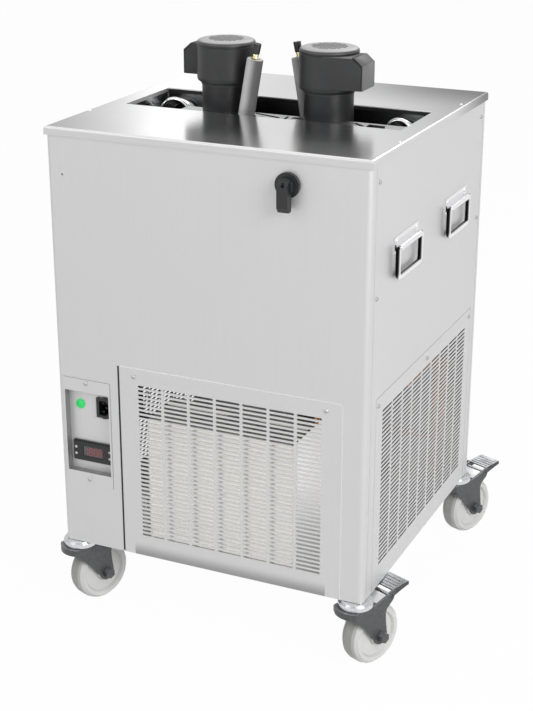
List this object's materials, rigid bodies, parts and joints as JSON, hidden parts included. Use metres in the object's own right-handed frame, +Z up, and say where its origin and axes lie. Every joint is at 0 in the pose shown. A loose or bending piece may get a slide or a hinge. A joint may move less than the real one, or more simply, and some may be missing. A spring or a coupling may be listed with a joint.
{
  "type": "glycol chiller",
  "caption": "Cube-like stainless cooling bath cabinet on braked swivel castors, with slotted grilles, agitator pumps, chest handles and an open tank.",
  "frame": {"origin": "on the floor below the middle of the cabinet", "axes": "+Z up, front of the cabinet towards -Y, +X to the right seen from the front"},
  "size_m": [0.5724, 0.6256, 0.9139],
  "materials": {
    "satin_steel": "satin",
    "top_steel": "satin",
    "inner_steel": "satin",
    "box_steel": "satin",
    "coil_steel": "polished",
    "screw_steel": "polished",
    "lamp_green": "gloss",
    "black_plastic": "matte",
    "display": "gloss",
    "button_grey": "matte",
    "foam_cream": "matte",
    "pump_black": "matte",
    "vent_grey": "satin",
    "sleeve_grey": "matte",
    "fitting_brass": "polished",
    "condenser_alu": "satin",
    "dark_steel": "satin",
    "fan_alu": "satin",
    "copper": "polished",
    "handle_chrome": "polished",
    "fork_dark": "satin",
    "wheel_white": "satin",
    "pedal_steel": "satin"
  },
  "bodies": {
    "body": {"chassis": "inner_steel", "front_panel": "satin_steel", "right_panel": "satin_steel", "left_panel": "satin_steel", "back_panel": "satin_steel", "top_frame": "top_steel", "front_grille": "satin_steel", "right_grille": "satin_steel", "left_grille": "satin_steel", "panel_screws": "screw_steel", "control_cover": "satin_steel", "control_box": "box_steel", "pilot_lamp": "lamp_green", "power_inlet": "black_plastic", "controller_case": "black_plastic", "display_window": "display", "lever_base": "black_plastic", "tank": "inner_steel", "insulation": "foam_cream", "evaporator_coil": "coil_steel", "pump_bridge": "inner_steel", "pump_housing_left": "pump_black", "pump_housing_right": "pump_black", "motor_cover_left": "pump_black", "motor_cover_right": "pump_black", "vent_caps": "vent_grey", "line_sleeves": "sleeve_grey", "line_fittings": "fitting_brass", "line_caps": "black_plastic", "condenser": "condenser_alu", "fan_shroud": "dark_steel", "fan_motor": "dark_steel", "compressor": "dark_steel", "refrigerant_pipes": "copper", "handle_plates": "handle_chrome", "castor_races": "inner_steel"},
    "castor_1": {"castor_fork_1": "fork_dark"},
    "wheel_1": {"castor_wheel_1": "wheel_white"},
    "pedal_1": {"castor_pedal_1": "pedal_steel"},
    "castor_2": {"castor_fork_2": "fork_dark"},
    "wheel_2": {"castor_wheel_2": "wheel_white"},
    "pedal_2": {"castor_pedal_2": "pedal_steel"},
    "castor_3": {"castor_fork_3": "fork_dark"},
    "wheel_3": {"castor_wheel_3": "wheel_white"},
    "pedal_3": {"castor_pedal_3": "pedal_steel"},
    "castor_4": {"castor_fork_4": "fork_dark"},
    "wheel_4": {"castor_wheel_4": "wheel_white"},
    "pedal_4": {"castor_pedal_4": "pedal_steel"},
    "bail_1": {"handle_bail_1": "handle_chrome"},
    "bail_2": {"handle_bail_2": "handle_chrome"},
    "bail_3": {"handle_bail_3": "handle_chrome"},
    "bail_4": {"handle_bail_4": "handle_chrome"},
    "lever": {"lever": "black_plastic"},
    "rotor_left": {"pump_rotor_left": "inner_steel"},
    "rotor_right": {"pump_rotor_right": "inner_steel"},
    "fan": {"fan_blades": "fan_alu"},
    "button_1": {"controller_button_1": "button_grey"},
    "button_2": {"controller_button_2": "button_grey"},
    "button_3": {"controller_button_3": "button_grey"},
    "button_4": {"controller_button_4": "button_grey"}
  },
  "joints": [
    {"name": "castor_swivel_1", "type": "hinge", "parent": "body", "child": "castor_1", "pos_m": [-0.243, -0.243, 0.112], "axis": [0, 0, 1], "continuous": true},
    {"name": "wheel_spin_1", "type": "hinge", "parent": "castor_1", "child": "wheel_1", "pos_m": [-0.23026, -0.21148, 0.05], "axis": [0.9272, -0.3746, 0], "continuous": true},
    {"name": "pedal_press_1", "type": "hinge", "parent": "castor_1", "child": "pedal_1", "pos_m": [-0.22202, -0.19108, 0.112], "axis": [0.9272, -0.3746, 0], "range_deg": [-22, 0]},
    {"name": "castor_swivel_2", "type": "hinge", "parent": "body", "child": "castor_2", "pos_m": [0.243, -0.243, 0.112], "axis": [0, 0, 1], "continuous": true},
    {"name": "wheel_spin_2", "type": "hinge", "parent": "castor_2", "child": "wheel_2", "pos_m": [0.25574, -0.21148, 0.05], "axis": [0.9272, -0.3746, 0], "continuous": true},
    {"name": "pedal_press_2", "type": "hinge", "parent": "castor_2", "child": "pedal_2", "pos_m": [0.26398, -0.19108, 0.112], "axis": [0.9272, -0.3746, 0], "range_deg": [-22, 0]},
    {"name": "castor_swivel_3", "type": "hinge", "parent": "body", "child": "castor_3", "pos_m": [-0.243, 0.243, 0.112], "axis": [0, 0, 1], "continuous": true},
    {"name": "wheel_spin_3", "type": "hinge", "parent": "castor_3", "child": "wheel_3", "pos_m": [-0.23026, 0.27452, 0.05], "axis": [0.9272, -0.3746, 0], "continuous": true},
    {"name": "pedal_press_3", "type": "hinge", "parent": "castor_3", "child": "pedal_3", "pos_m": [-0.22202, 0.29492, 0.112], "axis": [0.9272, -0.3746, 0], "range_deg": [-22, 0]},
    {"name": "castor_swivel_4", "type": "hinge", "parent": "body", "child": "castor_4", "pos_m": [0.243, 0.243, 0.112], "axis": [0, 0, 1], "continuous": true},
    {"name": "wheel_spin_4", "type": "hinge", "parent": "castor_4", "child": "wheel_4", "pos_m": [0.25574, 0.27452, 0.05], "axis": [0.9272, -0.3746, 0], "continuous": true},
    {"name": "pedal_press_4", "type": "hinge", "parent": "castor_4", "child": "pedal_4", "pos_m": [0.26398, 0.29492, 0.112], "axis": [0.9272, -0.3746, 0], "range_deg": [-22, 0]},
    {"name": "bail_swing_1", "type": "hinge", "parent": "body", "child": "bail_1", "pos_m": [0.267, -0.119, 0.656], "axis": [0, -1, 0], "range_deg": [0, 90]},
    {"name": "bail_swing_2", "type": "hinge", "parent": "body", "child": "bail_2", "pos_m": [0.267, 0.111, 0.656], "axis": [0, -1, 0], "range_deg": [0, 90]},
    {"name": "bail_swing_3", "type": "hinge", "parent": "body", "child": "bail_3", "pos_m": [-0.267, -0.119, 0.656], "axis": [0, 1, 0], "range_deg": [0, 90]},
    {"name": "bail_swing_4", "type": "hinge", "parent": "body", "child": "bail_4", "pos_m": [-0.267, 0.111, 0.656], "axis": [0, 1, 0], "range_deg": [0, 90]},
    {"name": "lever_turn", "type": "hinge", "parent": "body", "child": "lever", "pos_m": [0.135, -0.2683, 0.759], "axis": [0, -1, 0], "range_deg": [0, 90]},
    {"name": "rotor_spin_left", "type": "hinge", "parent": "body", "child": "rotor_left", "pos_m": [-0.087, 0, 0.6], "axis": [0, 0, 1], "continuous": true},
    {"name": "rotor_spin_right", "type": "hinge", "parent": "body", "child": "rotor_right", "pos_m": [0.087, 0, 0.6], "axis": [0, 0, 1], "continuous": true},
    {"name": "fan_spin", "type": "hinge", "parent": "body", "child": "fan", "pos_m": [0.01, -0.144, 0.2403], "axis": [0, 1, 0], "continuous": true},
    {"name": "button_press_1", "type": "slide", "parent": "body", "child": "button_1", "axis": [0, 1, 0], "range_m": [0, 0.0008], "stiffness_N_per_m": 300},
    {"name": "button_press_2", "type": "slide", "parent": "body", "child": "button_2", "axis": [0, 1, 0], "range_m": [0, 0.0008], "stiffness_N_per_m": 300},
    {"name": "button_press_3", "type": "slide", "parent": "body", "child": "button_3", "axis": [0, 1, 0], "range_m": [0, 0.0008], "stiffness_N_per_m": 300},
    {"name": "button_press_4", "type": "slide", "parent": "body", "child": "button_4", "axis": [0, 1, 0], "range_m": [0, 0.0008], "stiffness_N_per_m": 300}
  ]
}
